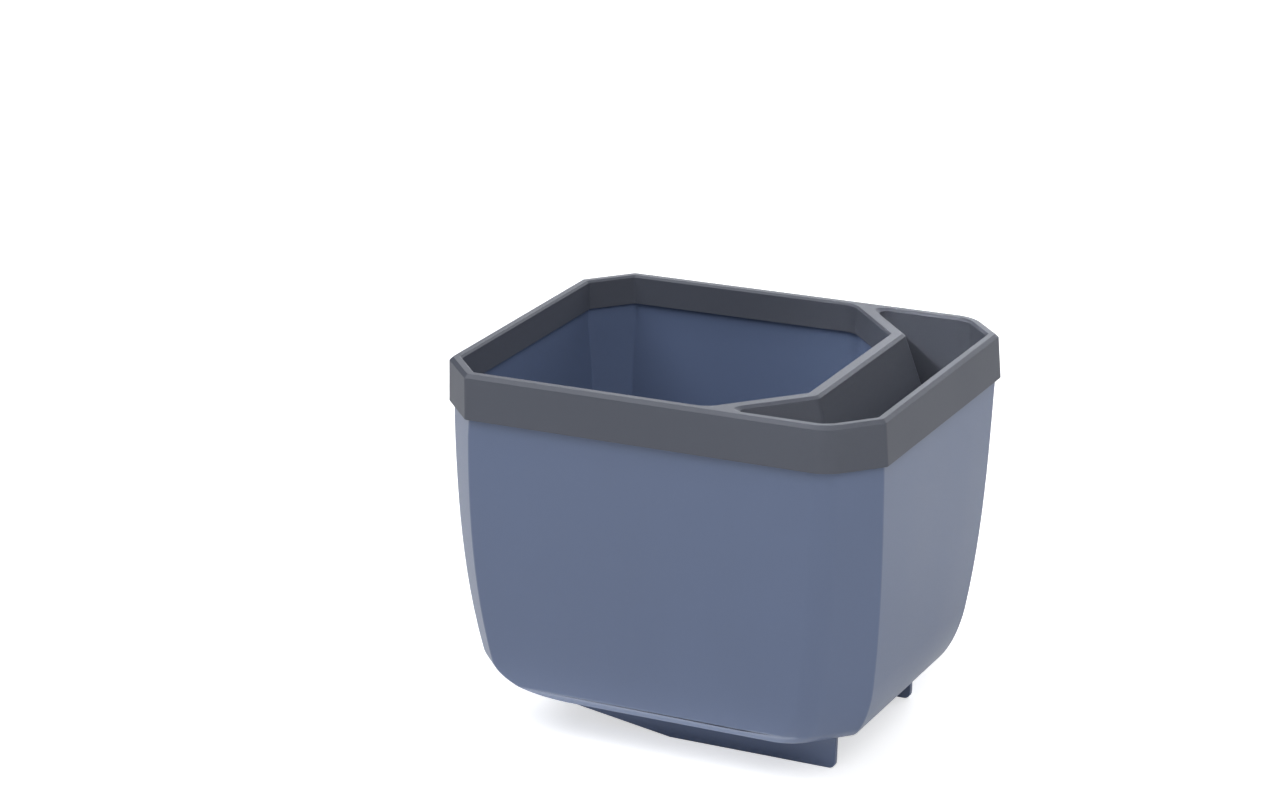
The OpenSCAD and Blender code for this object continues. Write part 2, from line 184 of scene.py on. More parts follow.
class Form:
    """The planter's shape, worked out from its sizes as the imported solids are."""

    def __init__(self, p):
        self.p = p
        self.skirt_z = p.top_z - p.skirt_height
        self.lining_z = p.top_z - p.lining_depth
        self.mouth_z = p.top_z - p.mouth_depth
        self.tank_z = p.top_z - p.tank_depth
        self.tank_under_z = self.tank_z - p.tank_floor
        self.floor_z = p.pot_z + p.pot_floor
        self.crease_z = p.pot_z + p.side_round
        self.lip_inset = p.skirt_wall + p.seat_gap
        self.chamber_inset = self.lip_inset + p.pot_wall
        self.liner_inset = self.chamber_inset + p.seat_gap
        self.rim = self.liner_inset + p.lining_wall
        self.open_back = -p.rim_length / 2 + self.rim
        self.open_front = self.open_back + p.opening_length
        self.open_half = p.rim_width / 2 - self.rim
        self.open_sum = self.open_front + self.open_half - p.opening_leg
        self.parting = p.lining_wall + p.seat_gap
        self.back_stand = self.parting + p.pot_wall + p.seat_gap

    def down(self, z):
        """Share of the way down from the skirt to the pot's underside."""
        return min(1, max(0, (self.skirt_z - z) / (self.skirt_z - self.p.pot_z)))

    def lean(self, z, straight, bulge):
        return straight * self.down(z) + bulge * self.down(z) ** 3

    def curve_in(self, h, run, rise):
        """How far a wall has curved in, at height h over its foot."""
        if h >= rise:
            return 0
        return run * (1 - math.sqrt(max(0, 1 - (1 - max(0, h) / rise) ** 2)))

    def turned_in(self, h, run, rise):
        """A curve like curve_in that leaves the wall with a crease."""
        if h >= rise:
            return 0
        start = math.sin(self.p.crease_tilt)
        height = start + (1 - start) * (1 - max(0, h) / rise)
        return run * (1 - math.sqrt(max(0, 1 - height ** 2)) / math.cos(self.p.crease_tilt))

    def x0(self, z, d, foot):
        """Place of the plant end's wall: d is the inset from the pot's outside."""
        p = self.p
        curve = self.curve_in(z - foot, p.plant_run - d, p.plant_rise - foot + p.pot_z)
        lean = self.lean(z, p.plant_end_lean, p.plant_end_bulge)
        return self.lip_inset + d - p.rim_length / 2 + lean + curve

    def x1(self, z, d, foot):
        """Place of the tank end's wall."""
        p = self.p
        curve = self.curve_in(z - foot, p.tank_run - d, p.tank_rise - foot + p.pot_z)
        lean = self.lean(z, p.tank_end_lean, p.tank_end_bulge)
        return p.rim_length / 2 - self.lip_inset - d - lean - curve

    def y(self, z, d, foot):
        """Distance of the long sides from the middle."""
        p = self.p
        curve = self.turned_in(z - foot, p.side_round - d, self.crease_z - foot)
        lean = self.lean(z, p.side_lean, p.side_bulge)
        return p.rim_width / 2 - self.lip_inset - d - lean - curve

    def leg(self, z, d, low_leg):
        share = self.down(z) ** self.p.leg_bend
        top_leg = self.p.corner_leg - LEG_SHRINK * self.lip_inset
        return (1 - share) * top_leg + share * low_leg - LEG_SHRINK * d

    def shell(self, z, d, foot):
        p = self.p
        return cut_plan(
            self.x0(z, d, foot), self.x1(z, d, foot), self.y(z, d, foot),
            self.leg(z, d, p.low_leg_plant), self.leg(z, d, p.low_leg_tank))

    def plant_chamber(self, z, d):
        """The space under the plant, from the plant end's wall to the partition."""
        p = self.p
        x = self.open_front + self.parting
        total = self.open_sum + self.parting * DIAGONAL
        y = self.y(z, p.pot_wall - d, self.floor_z)
        x0 = self.x0(z, p.pot_wall - d, self.floor_z)
        leg = self.leg(z, p.pot_wall - d, p.low_leg_plant)
        return cut_plan(x0, x + d, y, leg, x + y - total - LEG_SHRINK * d)

    def c_plan(self, x0, total, x1, y, leg):
        """C-shaped plan round the plant's side, from the near tip anticlockwise."""
        return [
            (total - y, -y), (x1 - leg, -y), (x1, leg - y), (x1, y - leg),
            (x1 - leg, y), (total - y, y), (x0, total - x0), (x0, x0 - total)]

    def side_chamber(self, z, d):
        """The space that holds the tank, from the partition to the tank end's wall."""
        p = self.p
        off = self.parting + p.pot_wall - d
        return self.c_plan(
            self.open_front + off, self.open_sum + off * DIAGONAL, self.x1(z, p.pot_wall - d, self.floor_z),
            self.y(z, p.pot_wall - d, self.floor_z), self.leg(z, p.pot_wall - d, p.low_leg_tank))

    def tank(self, z, d, b):
        """The tank's plan: d is the inset of its outer walls, and b that of its back wall."""
        p = self.p
        foot = self.floor_z + p.seat_gap
        inset = p.pot_wall + p.seat_gap + d
        back = (p.top_z - max(z, self.mouth_z)) * math.tan(p.mouth_slope)
        back += max(0, self.mouth_z - z) * math.tan(p.well_slope)
        off = self.back_stand + b + back
        return self.c_plan(
            self.open_front + off, self.open_sum + off * DIAGONAL,
            self.x1(z, inset, foot), self.y(z, inset, foot), self.leg(z, inset, p.low_leg_tank))

    def rim_plan(self, d):
        p = self.p
        leg = p.corner_leg - LEG_SHRINK * d
        return cut_plan(d - p.rim_length / 2, p.rim_length / 2 - d, p.rim_width / 2 - d, leg, leg)

    def opening(self, d):
        p = self.p
        return cut_plan(
            self.open_back - d, self.open_front + d, self.open_half + d,
            p.corner_leg - LEG_SHRINK * (self.rim - d), p.opening_leg + LEG_SHRINK * d)

    def wall_heights(self, foot, top, low_steps=26, high_steps=12, spare=0.0002):
        """Heights of a wall's outlines: close together in its lower curve, and one on the crease."""
        knee = foot + self.p.tank_rise
        turns = [math.pi / 2 * k / low_steps for k in range(low_steps, 0, -1)]
        low = [foot + self.p.tank_rise * (1 - math.sin(turn)) for turn in turns]
        low = sorted([z for z in low if abs(z - self.crease_z) > spare] + [self.crease_z])
        return low + between(knee, self.skirt_z, high_steps) + [self.skirt_z, top]

    def tank_heights(self, foot, well_steps=14, mouth_steps=3):
        """Heights of the tank's outlines, above its foot and up to the skirt's lower edge."""
        well = between(foot, self.mouth_z, well_steps)[1:]
        return well + between(self.mouth_z, self.skirt_z, mouth_steps) + [self.skirt_z]

    def under_z(self, x):
        """Height of the pot's underside at x, which curves up towards the plant end."""
        p = self.p
        past = max(0, self.x0(p.pot_z, 0, p.pot_z) - x)
        return p.pot_z + p.plant_rise * (1 - math.sqrt(1 - (past / p.plant_run) ** 2))

    def wick_x(self):
        """Middle of the wick's upright part, just clear of the tank's back wall."""
        p = self.p
        slope = p.mouth_depth * math.tan(p.mouth_slope)
        slope += (self.mouth_z - self.tank_z) * math.tan(p.well_slope)
        back = self.open_front + self.back_stand + p.tank_back + slope
        return back + 3 * p.soft_gap + p.wick_thickness / 2


def cut_plan(x0, x1, y, leg0, leg1):
    """Eight corners of a long plan with cut corners, anticlockwise from the near plant end."""
    return [
        (x0 + leg0, -y), (x1 - leg1, -y), (x1, leg1 - y), (x1, y - leg1),
        (x1 - leg1, y), (x0 + leg0, y), (x0, y - leg0), (x0, leg0 - y)]


def between(low, high, steps):
    """Even steps from low towards high, which is left out."""
    return [low + (high - low) * k / steps for k in range(steps)]


def bend(start, corner, finish, steps):
    """Points of a curve from start to finish that turns at the corner."""
    shares = [k / steps for k in range(steps + 1)]
    return [tuple(start * (1 - t) ** 2 + corner * 2 * t * (1 - t) + finish * t ** 2) for t in shares]


def quarter(radius, steps=EDGE_FACETS):
    """Steps of a quarter round: how far out of the wall, and how far below the top."""
    turns = [math.pi / 2 * k / steps for k in range(steps + 1)]
    return [(radius * (1 - math.cos(t)), radius * (1 - math.sin(t))) for t in turns]


def chamfered(width, soft=0.00012, steps=4):
    """Steps of a chamfer with softened corners: how far out of the wall, and how far below the top."""
    turn = soft / DIAGONAL
    low = bend(Vector((0, width + soft)), Vector((0, width)), Vector((turn, width - turn)), steps)
    high = bend(Vector((width - turn, turn)), Vector((width, 0)), Vector((width + soft, 0)), steps)
    return low + high


def deselect():
    if bpy.context.object and bpy.context.object.mode != "OBJECT":
        bpy.ops.object.mode_set(mode="OBJECT")
    bpy.ops.object.select_all(action="DESELECT")


def activate(obj):
    deselect()
    obj.select_set(True)
    bpy.context.view_layer.objects.active = obj


def start_edit(obj):
    activate(obj)
    bpy.ops.object.mode_set(mode="EDIT")
    return bmesh.from_edit_mesh(obj.data)


def end_edit():
    bpy.ops.object.mode_set(mode="OBJECT")


def settle(obj):
    """Puts the object at the origin, with its place in its mesh."""
    activate(obj)
    bpy.ops.object.transform_apply(location=True, rotation=True, scale=True)


def pick(obj, kind, test):
    """Selects the mesh's vertices, edges or faces that pass the test, and nothing else."""
    bpy.ops.mesh.select_mode(type=kind)
    bpy.ops.mesh.select_all(action="DESELECT")
    mesh = bmesh.from_edit_mesh(obj.data)
    items = {"VERT": mesh.verts, "EDGE": mesh.edges, "FACE": mesh.faces}[kind]
    chosen = [item for item in items if test(item)]
    for item in chosen:
        item.select_set(True)
    mesh.select_flush_mode()
    bmesh.update_edit_mesh(obj.data)
    return len(chosen)


def slice_through(place, normal):
    """Cuts the whole mesh in edit mode along a plane."""
    bpy.ops.mesh.select_all(action="SELECT")
    bpy.ops.mesh.bisect(plane_co=place, plane_no=normal)


def bevel_picked(offset, facets):
    """Rounds the picked edges. The offset is measured from the old edge to the new ones."""
    bpy.ops.mesh.bevel(
        offset_type="OFFSET", offset=offset, segments=facets, profile=0.5,
        affect="EDGES", clamp_overlap=False)


def face_outwards():
    bpy.ops.mesh.select_all(action="SELECT")
    bpy.ops.mesh.normals_make_consistent(inside=False)


def draw_ring(obj, old, new, z):
    """Moves the selected ring's corners from the outline old to the outline new at height z."""
    mesh = bmesh.from_edit_mesh(obj.data)
    ring = [v.index for v in mesh.verts if v.select]
    mesh.verts.ensure_lookup_table()
    order = [min(ring, key=lambda i: (mesh.verts[i].co.xy - Vector(corner)).length) for corner in old]
    for index, target in zip(order, new, strict=True):
        mesh = bmesh.from_edit_mesh(obj.data)
        mesh.verts.ensure_lookup_table()
        bpy.ops.mesh.select_all(action="DESELECT")
        vertex = mesh.verts[index]
        vertex.select_set(True)
        bpy.ops.transform.translate(value=Vector((*target, z)) - vertex.co)
    mesh = bmesh.from_edit_mesh(obj.data)
    mesh.verts.ensure_lookup_table()
    bpy.ops.mesh.select_all(action="DESELECT")
    for index in order:
        mesh.verts[index].select_set(True)
    mesh.select_flush(True)
    bmesh.update_edit_mesh(obj.data)


def stack(name, rings):
    """A closed form: an eight-sided disc drawn to the first outline, then extruded to each next one."""
    deselect()
    first, z = rings[0]
    bpy.ops.mesh.primitive_circle_add(
        vertices=PLAN_CORNERS, radius=0.05, fill_type="NGON", location=(0, 0, z))
    obj = bpy.context.active_object
    obj.name = obj.data.name = name
    settle(obj)
    mesh = start_edit(obj)
    corners = sorted((v.co.xy for v in mesh.verts), key=lambda c: math.atan2(c.y, c.x) % math.tau)
    bpy.ops.mesh.select_all(action="SELECT")
    # The disc's corner 5, at 225 degrees, becomes the first one of the plan.
    turned = [tuple(corners[(k + 5) % PLAN_CORNERS]) for k in range(PLAN_CORNERS)]
    draw_ring(obj, turned, first, z)
    before, low = first, z
    for outline, z in rings[1:]:
        bpy.ops.mesh.select_mode(type="VERT")
        bpy.ops.mesh.extrude_region_move(TRANSFORM_OT_translate={"value": (0, 0, z - low)})
        draw_ring(obj, before, outline, z)
        before, low = outline, z
    face_outwards()
    end_edit()
    return obj


def round_columns(obj, rings, corners, radius, facets, turn=45):
    """Rounds the upright edges through the given corners, where each outline turns by so many degrees."""
    places = [(Vector((*outline[corner], z)), corner) for outline, z in rings for corner in corners]
    tree = KDTree(len(places))
    for index, (place, corner) in enumerate(places):
        tree.insert(place, index)
    tree.balance()

    def column_of(vertex):
        place, index, distance = tree.find(vertex.co)
        return places[index][1] if distance < NEAR else None

    def on_column(edge):
        first, last = (column_of(vertex) for vertex in edge.verts)
        return first is not None and first == last

    start_edit(obj)
    if not pick(obj, "EDGE", on_column):
        raise RuntimeError(f"{obj.name} has no upright edges to round")
    bevel_picked(radius * math.tan(math.radians(turn / 2)), facets)
    end_edit()


def apply(obj, kind, **settings):
    """Adds a modifier, sets it and applies it."""
    activate(obj)
    bpy.ops.object.modifier_add(type=kind)
    modifier = obj.modifiers[-1]
    for key, value in settings.items():
        setattr(modifier, key, value)
    bpy.ops.object.modifier_apply(modifier=modifier.name)


def combine(obj, other, operation):
    apply(obj, "BOOLEAN", operation=operation, solver="MANIFOLD", object=other)
    bpy.data.objects.remove(other)
    if not obj.data.polygons:
        raise RuntimeError(f"{obj.name} is empty after a {operation.lower()}")


def fuse(obj, other):
    combine(obj, other, "UNION")


def cut(obj, other):
    combine(obj, other, "DIFFERENCE")


def smooth(obj):
    """Smooth shading over the curves, with flat faces kept flat and edges kept sharp."""
    activate(obj)
    bpy.ops.object.shade_smooth_by_angle(angle=SHARP_ANGLE)
    apply(obj, "WEIGHTED_NORMAL", keep_sharp=True, weight=80)


def soften_edges(obj, width):
    least_turn = math.radians(60)
    apply(obj, "BEVEL", width=width, segments=EDGE_FACETS, limit_method="ANGLE", angle_limit=least_turn)


def roughen(obj, strength, size):
    """Gives a felt piece small lumps and hollows."""
    lumps = bpy.data.textures.new(f"{obj.name}_lumps", "CLOUDS")
    lumps.noise_scale = size
    lumps.noise_depth = 2
    apply(obj, "DISPLACE", texture=lumps, strength=strength, mid_level=0.62, texture_coords="LOCAL")
    activate(obj)
    bpy.ops.object.shade_smooth()


def block(name, low, high):
    """A box between two corners, as a cutter or as the start of a piece."""
    deselect()
    low, high = Vector(low), Vector(high)
    bpy.ops.mesh.primitive_cube_add(size=1, location=(low + high) / 2)
    obj = bpy.context.active_object
    obj.name = obj.data.name = name
    obj.scale = high - low
    settle(obj)
    return obj


class Nodes:
    """Adds nodes to a tree and joins them, from left to right."""

    def __init__(self, tree):
        self.tree = tree
        self.column = 0

    def add(self, kind, inputs=None, **settings):
        node = self.tree.nodes.new(kind)
        self.column += 1
        node.location = (200 * self.column, -60 * (self.column % 5))
        for key, value in settings.items():
            setattr(node, key, value)
        for key, value in (inputs or {}).items():
            socket = node.inputs[key]
            if isinstance(value, bpy.types.NodeSocket):
                self.tree.links.new(value, socket)
            else:
                socket.default_value = value
        return node

    def maths(self, operation, a, b=0.0):
        return self.add("ShaderNodeMath", {0: a, 1: b}, operation=operation).outputs[0]

    def noise(self, place, scale, detail, roughness=0.5):
        inputs = {"Vector": place, "Scale": scale, "Detail": detail, "Roughness": roughness}
        return self.add("ShaderNodeTexNoise", inputs).outputs

    def shaded(self, tint, change, strength):
        """The tint, made lighter or darker by the change."""
        value = self.maths("ADD", self.maths("MULTIPLY", change, strength), 1.0)
        return self.add("ShaderNodeHueSaturation", {"Color": tint, "Value": value}).outputs[0]


def new_nodes(owner):
    """An empty node tree in a material or world."""
    owner.use_nodes = True
    owner.node_tree.nodes.clear()
    return Nodes(owner.node_tree)


def new_group(name, inputs):
    """A node group that gives a colour, a roughness and a height."""
    group = bpy.data.node_groups.new(name, "ShaderNodeTree")
    for label, kind, value in inputs:
        socket = group.interface.new_socket(name=label, in_out="INPUT", socket_type=kind)
        socket.default_value = value
    for label, kind in (("Colour", "Color"), ("Roughness", "Float"), ("Height", "Float")):
        group.interface.new_socket(name=label, in_out="OUTPUT", socket_type=f"NodeSocket{kind}")
    nodes = Nodes(group)
    return group, nodes, nodes.add("NodeGroupInput").outputs


def moulded_grain_group():
    """Fine spark-eroded grain, faint flow shading and a slightly uneven sheen of moulded plastic."""
    fleck_in_shade, fleck_in_sheen, speck_in_height, sheen_change = 0.35, 0.5, 0.4, 0.12
    group, n, given = new_group(
        "Moulded grain",
        [("Colour", "NodeSocketColor", (0.5, 0.5, 0.5, 1)), ("Sheen Level", "NodeSocketFloat", 0.45),
            ("Grain Size", "NodeSocketFloat", 3200.0), ("Shading", "NodeSocketFloat", 0.05)])
    place = n.add("ShaderNodeTexCoord").outputs["Object"]
    grain = n.noise(place, given["Grain Size"], 2.0, 0.6)["Fac"]
    flow_place = n.add("ShaderNodeMapping", {"Vector": place, "Scale": (1.0, 1.0, 0.35)}).outputs[0]
    flow = n.noise(flow_place, 22.0, 3.0)["Fac"]
    speck = n.noise(place, 700.0, 3.0, 0.6)["Fac"]
    drift = n.maths("SUBTRACT", flow, 0.5)
    fleck = n.maths("SUBTRACT", speck, 0.5)
    shade = n.maths("ADD", drift, n.maths("MULTIPLY", fleck, fleck_in_shade))
    tinted = n.shaded(given["Colour"], n.maths("MULTIPLY", shade, given["Shading"]), 2.0)
    uneven = n.maths("ADD", drift, n.maths("MULTIPLY", fleck, fleck_in_sheen))
    roughness = n.maths("ADD", given["Sheen Level"], n.maths("MULTIPLY", uneven, sheen_change))
    height = n.maths("ADD", grain, n.maths("MULTIPLY", speck, speck_in_height))
    n.add("NodeGroupOutput", {"Colour": tinted, "Roughness": roughness, "Height": height})
    return group


def felt_fibre_group():
    """Tangled fibres of needle felt: crossing streaks, punched dimples and an uneven colour."""
    bending, dimple_in_height, middle_streak = 0.012, 0.5, 0.58
    least_roughness, roughness_change = 0.8, 0.15
    group, n, given = new_group(
        "Felt fibres",
        [("Colour", "NodeSocketColor", (0.6, 0.6, 0.6, 1)), ("Fibre Size", "NodeSocketFloat", 900.0),
            ("Contrast", "NodeSocketFloat", 0.5)])
    place = n.add("ShaderNodeTexCoord").outputs["Object"]
    warp = n.noise(place, 160.0, 2.0)["Color"]
    bent = n.add("ShaderNodeMixRGB", {0: bending, 1: place, 2: warp}).outputs[0]
    streaks = None
    for turn in (0.3, 1.25, 2.3):
        aligned = n.add(
            "ShaderNodeMapping", {"Vector": bent, "Rotation": (0.2, 0.15, turn), "Scale": (1.0, 0.12, 0.6)})
        streak = n.noise(aligned.outputs[0], given["Fibre Size"], 3.0, 0.65)["Fac"]
        streaks = streak if streaks is None else n.maths("MAXIMUM", streaks, streak)
    cells = n.add("ShaderNodeTexVoronoi", {"Vector": place, "Scale": 420.0}, feature="SMOOTH_F1")
    height = n.maths("ADD", streaks, n.maths("MULTIPLY", cells.outputs["Distance"], dimple_in_height))
    change = n.maths("MULTIPLY", n.maths("SUBTRACT", streaks, middle_streak), given["Contrast"])
    tinted = n.shaded(given["Colour"], change, 2.2)
    roughness = n.maths("ADD", n.maths("MULTIPLY", streaks, roughness_change), least_roughness)
    n.add("NodeGroupOutput", {"Colour": tinted, "Roughness": roughness, "Height": height})
    return group


def finish_material(name, group, inputs, bump, **shader):
    """A material whose varying values come from a group, with its uniform ones on the shader itself."""
    material = bpy.data.materials.new(name)
    n = new_nodes(material)
    effect = n.add("ShaderNodeGroup", node_tree=group)
    for key, value in inputs.items():
        effect.inputs[key].default_value = value
    given = effect.outputs
    normal = n.add("ShaderNodeBump", {**bump, "Height": given["Height"]}).outputs[0]
    surface = n.add(
        "ShaderNodeBsdfPrincipled",
        {"Base Color": given["Colour"], "Roughness": given["Roughness"], "Normal": normal, **shader})
    n.add("ShaderNodeOutputMaterial", {"Surface": surface.outputs[0]})
    return material


def plastic(name, tint, sheen_level, specular):
    group = bpy.data.node_groups.get("Moulded grain") or moulded_grain_group()
    return finish_material(
        name, group,
        {"Colour": (*tint, 1), "Sheen Level": sheen_level, "Grain Size": 3200.0, "Shading": 0.05},
        {"Strength": 0.12, "Distance": 0.0001},
        **{"IOR": 1.49, "Specular IOR Level": specular})


def felt(name, tint, fibre_size, contrast):
    group = bpy.data.node_groups.get("Felt fibres") or felt_fibre_group()
    return finish_material(
        name, group,
        {"Colour": (*tint, 1), "Fibre Size": fibre_size, "Contrast": contrast},
        {"Strength": 0.7, "Distance": 0.0004},
        **{"Sheen Weight": 0.35, "Sheen Roughness": 0.5, "IOR": 1.45})


def dress(obj, material, body, slot, *nodes):
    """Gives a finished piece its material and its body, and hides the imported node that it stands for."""
    obj.data.materials.clear()
    obj.data.materials.append(material)
    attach(obj, body)
    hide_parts(*nodes)


def build_runner(form):
    """One runner: a plate with a level and a slanting foot, and a top that follows the pot's underside."""
    p = form.p
    steps, edge_round = 12, 0.0003
    outer = p.runner_span / 2
    inner = outer - p.runner_wall
    root = p.pot_z + p.pot_floor / 2
    obj = block("runner", (p.foot_back, inner, 0), (p.foot_front, outer, root))
    start_edit(obj)
    cuts = between(p.knee, p.foot_back, steps)
    for x in cuts:
        slice_through((x, 0, 0), (1, 0, 0))
    for x in cuts[1:] + [p.foot_back]:
        pick(obj, "VERT", lambda v, x=x: abs(v.co.x - x) < NEAR and v.co.z > root - NEAR)
        bpy.ops.transform.translate(value=(0, 0, form.under_z(x) - p.pot_z))
        pick(obj, "VERT", lambda v, x=x: abs(v.co.x - x) < NEAR and v.co.z < NEAR)
        bpy.ops.transform.translate(value=(0, 0, (p.knee - x) * math.tan(p.slant)))
    pick(obj, "VERT", lambda v: v.co.x > p.foot_front - NEAR and v.co.z > root - NEAR)
    bpy.ops.transform.translate(value=(p.front_lean, 0, 0))
    rise = (p.knee - p.foot_back) * math.tan(p.slant)

    def lower_end(edge):
        a, b = (v.co for v in edge.verts)
        at_front = min(a.x, b.x) > p.foot_front - NEAR and max(a.z, b.z) < NEAR
        at_back = max(a.x, b.x) < p.foot_back + NEAR and max(a.z, b.z) < rise + NEAR
        return abs(a.y - b.y) > p.runner_wall / 2 and (at_front or at_back)

    def outline(edge):
        in_a_side = any(all(abs(v.co.y - y) < NEAR for v in edge.verts) for y in (inner, outer))
        return in_a_side and len({round(face.normal.y, 1) for face in edge.link_faces}) > 1

    pick(obj, "EDGE", lower_end)
    bevel_picked(p.runner_radius, TIP_FACETS)
    pick(obj, "EDGE", outline)
    bevel_picked(edge_round, EDGE_FACETS)
    end_edit()
    return obj


def build_pot(form):
    """The pot: shell, partition with its notch, and two runners."""
    p = form.p
    outer_round, inner_round = 0.0005, 0.0004
    heights = form.wall_heights(p.pot_z, p.lip_z - outer_round)
    rings = [(form.shell(z, 0, p.pot_z), z) for z in heights]
    rings += [(form.shell(p.lip_z, s, p.pot_z), p.lip_z - t) for s, t in quarter(outer_round)[1:]]
    pot = stack("pot_body", rings)
    round_columns(pot, rings, CRISP_CORNERS, p.crisp_radius, CRISP_FACETS)
    round_columns(pot, rings, SOFT_CORNERS, p.soft_radius, OUTER_SOFT_FACETS)

    heights = form.wall_heights(form.floor_z, p.lip_z - inner_round)
    for name, plan, crisp in (
            ("plant_chamber", form.plant_chamber, CRISP_CORNERS),
            ("side_chamber", form.side_chamber, C_END_CORNERS + C_BACK_CORNERS)):
        rings = [(plan(z, 0), z) for z in heights]
        rings += [(plan(p.lip_z, s), p.lip_z - t) for s, t in quarter(inner_round)[1:]]
        rings.append((plan(p.lip_z, inner_round), p.lip_z + CLEAR))
        chamber = stack(name, rings)
        round_columns(chamber, rings, crisp, p.crisp_radius, CRISP_FACETS)
        round_columns(chamber, rings, SOFT_CORNERS, p.soft_radius - form.chamber_inset, INNER_SOFT_FACETS)
        cut(pot, chamber)

    half = p.wick_width / 2 + p.soft_gap
    notch_top = form.floor_z + p.wick_thickness + 3 * p.soft_gap
    notch_end = form.open_front + form.parting + p.pot_wall + OVERLAP
    cut(pot, block("notch", (form.open_front, -half, form.floor_z - NEAR), (notch_end, half, notch_top)))

    near = build_runner(form)
    activate(near)
    bpy.ops.object.duplicate(linked=False)
    far = bpy.context.active_object
    bpy.ops.transform.translate(value=(0, p.runner_wall - p.runner_span, 0))
    settle(far)
    fuse(pot, near)
    fuse(pot, far)
    smooth(pot)
    return pot


def build_collar(form):
    """The collar: chamfered rim, skirt, lining and the C-shaped tank."""
    p = form.p
    skirt_z = form.skirt_z
    edge_round, skirt_round, tank_foot_round, tank_floor_round = 0.0004, 0.0003, 0.001, 0.0012
    lower_edge = quarter(edge_round)[::-1]

    rings = [(form.rim_plan(s - p.skirt_flare), skirt_z + t) for s, t in lower_edge]
    rings += [(form.rim_plan(s), p.top_z - t) for s, t in chamfered(p.rim_chamfer)]
    collar = stack("collar_tank", rings)
    round_columns(collar, rings, CRISP_CORNERS, p.crisp_radius, CRISP_FACETS)
    round_columns(collar, rings, SOFT_CORNERS, p.soft_radius, OUTER_SOFT_FACETS)

    wide, narrow = form.rim_plan(p.skirt_wall - skirt_round), form.rim_plan(p.skirt_wall)
    rings = [(wide, skirt_z - CLEAR), (wide, skirt_z), (narrow, skirt_z + skirt_round), (narrow, p.lip_z)]
    hollow = stack("skirt_hollow", rings)
    round_columns(hollow, rings, CRISP_CORNERS, p.crisp_radius, CRISP_FACETS)
    round_columns(hollow, rings, SOFT_CORNERS, p.soft_radius - p.skirt_wall, OUTER_SOFT_FACETS)
    cut(collar, hollow)

    rings = [(form.opening(p.lining_wall - s), form.lining_z + t) for s, t in lower_edge]
    rings.append((form.opening(p.lining_wall), p.lip_z + OVERLAP))
    lining = stack("lining", rings)
    round_columns(lining, rings, CRISP_CORNERS, p.crisp_radius, CRISP_FACETS)
    round_columns(lining, rings, SOFT_CORNERS, p.soft_radius - form.liner_inset, INNER_SOFT_FACETS)
    fuse(collar, lining)

    foot = form.tank_under_z
    rings = [(form.tank(foot, s, s), foot + t) for s, t in quarter(tank_foot_round, 4)[::-1]]
    rings += [(form.tank(z, 0, 0), z) for z in form.tank_heights(foot) + [p.lip_z + OVERLAP]]
    tank = stack("tank", rings)
    round_columns(tank, rings, C_END_CORNERS + C_BACK_CORNERS, p.crisp_radius, CRISP_FACETS)
    round_columns(tank, rings, SOFT_CORNERS, p.soft_radius - form.liner_inset, INNER_SOFT_FACETS)
    round_columns(tank, rings, C_TIPS, p.tip_radius + p.lining_wall, TIP_FACETS, TIP_TURN)
    fuse(collar, tank)

    rings = [(form.opening(edge_round), form.lining_z - CLEAR), (form.opening(edge_round), form.lining_z)]
    rings += [(form.opening(s), form.lining_z + edge_round - t) for s, t in lower_edge[1:]]
    chamfer = chamfered(p.opening_chamfer)
    rings += [(form.opening(s), p.top_z - t) for s, t in chamfer]
    rings.append((form.opening(chamfer[-1][0]), p.top_z + CLEAR))
    opening = stack("opening", rings)
    round_columns(opening, rings, CRISP_CORNERS, p.crisp_radius, CRISP_FACETS)
    round_columns(opening, rings, SOFT_CORNERS, p.soft_radius - form.rim, INNER_SOFT_FACETS)
    cut(collar, opening)

    wall, back, foot = p.lining_wall, p.tank_back, form.tank_z
    floor_round = quarter(tank_floor_round, 4)[::-1]
    rings = [(form.tank(foot, wall + s, back + s), foot + t) for s, t in floor_round]
    rings += [(form.tank(z, wall, back), z) for z in form.tank_heights(foot)]
    chamfer = chamfered(p.mouth_chamfer)
    rings += [(form.tank(p.top_z - t, wall - s, back - s), p.top_z - t) for s, t in chamfer]
    widest = chamfer[-1][0]
    rings.append((form.tank(p.top_z, wall - widest, back - widest), p.top_z + CLEAR))
    inside = stack("tank_inside", rings)
    round_columns(inside, rings, C_END_CORNERS, p.crisp_radius, CRISP_FACETS)
    round_columns(inside, rings, C_BACK_CORNERS, p.crease_radius, CREASE_FACETS)
    round_columns(inside, rings, SOFT_CORNERS, p.soft_radius - form.rim, INNER_SOFT_FACETS)
    round_columns(inside, rings, C_TIPS, p.tip_radius, TIP_FACETS, TIP_TURN)
    cut(collar, inside)

    x, half = form.wick_x(), p.wick_width / 2 + p.soft_gap
    gap = p.wick_thickness / 2 + p.soft_gap
    slot_low, slot_high = form.tank_under_z - CLEAR, form.tank_z + OVERLAP / 2
    cut(collar, block("wick_slot", (x - gap, -half, slot_low), (x + gap, half, slot_high)))
    smooth(collar)
    return collar


